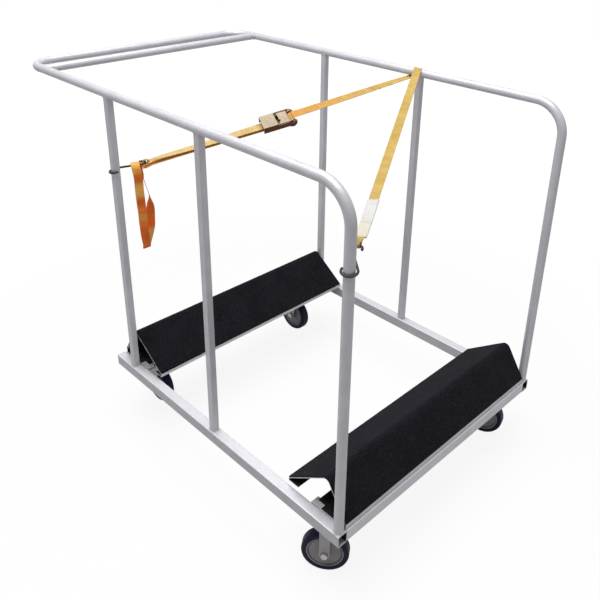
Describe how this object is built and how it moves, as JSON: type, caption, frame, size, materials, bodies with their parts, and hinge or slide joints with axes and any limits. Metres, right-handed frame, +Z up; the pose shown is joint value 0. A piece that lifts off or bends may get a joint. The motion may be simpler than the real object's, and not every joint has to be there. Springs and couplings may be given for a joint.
{
  "type": "round table cart",
  "caption": "Steel tube trolley for round folding tables: carpeted angled saddles on a rail base, side frames, push handle, swivel and fixed castors, and a ratchet strap across the top.",
  "frame": {"origin": "centre of the cart on the floor, under the middle of its overall box", "axes": "+X along the cart away from the push handle, +Y to the far side, +Z up"},
  "size_m": [1.4123, 0.8724, 1.1105],
  "materials": {
    "frame_paint": "silver grey paint, satin",
    "saddle_paint": "pale grey paint, satin",
    "pad_paint": "dark paint, satin",
    "carpet": "short black pile",
    "castor_zinc": "zinc plate",
    "bolt_zinc": "zinc plate",
    "hub_plastic": "moulded grey",
    "tyre_rubber": "dark blue rubber",
    "hook_black": "black vinyl dip",
    "strap_webbing": "yellow webbing",
    "tail_webbing": "yellow orange webbing",
    "sleeve_fabric": "white cloth sleeve",
    "ratchet_zinc": "yellow zinc plate"
  },
  "bodies": {
    "cart_frame": {"near_side_rail": "frame_paint", "far_side_rail": "frame_paint", "front_end_rail": "frame_paint", "rear_end_rail": "frame_paint", "near_side_tube": "frame_paint", "far_side_tube": "frame_paint", "push_handle": "frame_paint", "handle_cross_bar": "frame_paint", "near_rear_post": "frame_paint", "near_middle_post": "frame_paint", "far_rear_post": "frame_paint", "far_middle_post": "frame_paint", "front_saddle": "saddle_paint", "rear_saddle": "saddle_paint", "front_carpet": "carpet", "rear_carpet": "carpet", "saddle_support_tabs": "saddle_paint", "castor_pads": "pad_paint", "castor_bolts": "bolt_zinc", "rail_end_caps": "frame_paint", "near_front_top_plate": "castor_zinc", "near_front_king_pin": "castor_zinc", "near_rear_fixed_fork": "castor_zinc", "near_rear_axle": "bolt_zinc", "far_front_top_plate": "castor_zinc", "far_front_king_pin": "castor_zinc", "far_rear_fixed_fork": "castor_zinc", "far_rear_axle": "bolt_zinc", "front_hook": "hook_black", "rear_hook": "hook_black", "strap_sleeve": "sleeve_fabric", "strap_front_run": "strap_webbing", "strap_tube_wrap": "strap_webbing", "strap_rear_run": "strap_webbing", "strap_fixed_run": "strap_webbing", "strap_tail": "tail_webbing", "ratchet_base": "ratchet_zinc", "ratchet_anchor_pin": "ratchet_zinc"},
    "near_front_fork": {"near_front_thrust_ring": "castor_zinc", "near_front_fork": "castor_zinc", "near_front_axle": "bolt_zinc"},
    "near_front_wheel": {"near_front_hub": "hub_plastic", "near_front_tyre": "tyre_rubber"},
    "near_rear_wheel": {"near_rear_hub": "hub_plastic", "near_rear_tyre": "tyre_rubber"},
    "far_front_fork": {"far_front_thrust_ring": "castor_zinc", "far_front_fork": "castor_zinc", "far_front_axle": "bolt_zinc"},
    "far_front_wheel": {"far_front_hub": "hub_plastic", "far_front_tyre": "tyre_rubber"},
    "far_rear_wheel": {"far_rear_hub": "hub_plastic", "far_rear_tyre": "tyre_rubber"},
    "ratchet_spool": {"ratchet_spool": "ratchet_zinc", "ratchet_wheels": "ratchet_zinc", "ratchet_webbing_coil": "strap_webbing"},
    "ratchet_handle": {"ratchet_handle": "ratchet_zinc"},
    "ratchet_drive_pawl": {"ratchet_drive_pawl": "ratchet_zinc"},
    "ratchet_lock_pawl": {"ratchet_lock_pawl": "ratchet_zinc"}
  },
  "joints": [
    {"name": "near_front_swivel", "type": "hinge", "parent": "cart_frame", "child": "near_front_fork", "pos_m": [0.65035, -0.363, 0.152], "axis": [0, 0, 1], "continuous": true},
    {"name": "near_front_roll", "type": "hinge", "parent": "near_front_fork", "child": "near_front_wheel", "pos_m": [0.61799, -0.38651, 0.0625], "axis": [-0.5878, 0.809, 0], "continuous": true},
    {"name": "far_front_swivel", "type": "hinge", "parent": "cart_frame", "child": "far_front_fork", "pos_m": [0.65035, 0.363, 0.152], "axis": [0, 0, 1], "continuous": true},
    {"name": "far_front_roll", "type": "hinge", "parent": "far_front_fork", "child": "far_front_wheel", "pos_m": [0.61171, 0.35265, 0.0625], "axis": [-0.2588, 0.9659, 0], "continuous": true},
    {"name": "near_rear_roll", "type": "hinge", "parent": "cart_frame", "child": "near_rear_wheel", "pos_m": [-0.24365, -0.316, 0.0625], "axis": [0, 1, 0], "continuous": true},
    {"name": "far_rear_roll", "type": "hinge", "parent": "cart_frame", "child": "far_rear_wheel", "pos_m": [-0.24365, 0.316, 0.0625], "axis": [0, 1, 0], "continuous": true},
    {"name": "ratchet_spool_turn", "type": "hinge", "parent": "cart_frame", "child": "ratchet_spool", "pos_m": [0.012, 0.051, 0.984], "axis": [0.828, -0.2742, -0.4891], "continuous": true},
    {"name": "ratchet_handle_swing", "type": "hinge", "parent": "cart_frame", "child": "ratchet_handle", "pos_m": [0.012, 0.051, 0.984], "axis": [-0.828, 0.2742, 0.4891], "range_deg": [0, 75]},
    {"name": "ratchet_drive_pawl_slide", "type": "slide", "parent": "ratchet_handle", "child": "ratchet_drive_pawl", "axis": [-0.4157, -0.8856, -0.2073], "range_m": [0, 0.005], "stiffness_N_per_m": 300, "springref_m": -0.003},
    {"name": "ratchet_lock_pawl_slide", "type": "slide", "parent": "cart_frame", "child": "ratchet_lock_pawl", "axis": [-0.4157, -0.8856, -0.2073], "range_m": [0, 0.005], "stiffness_N_per_m": 300, "springref_m": -0.003}
  ]
}
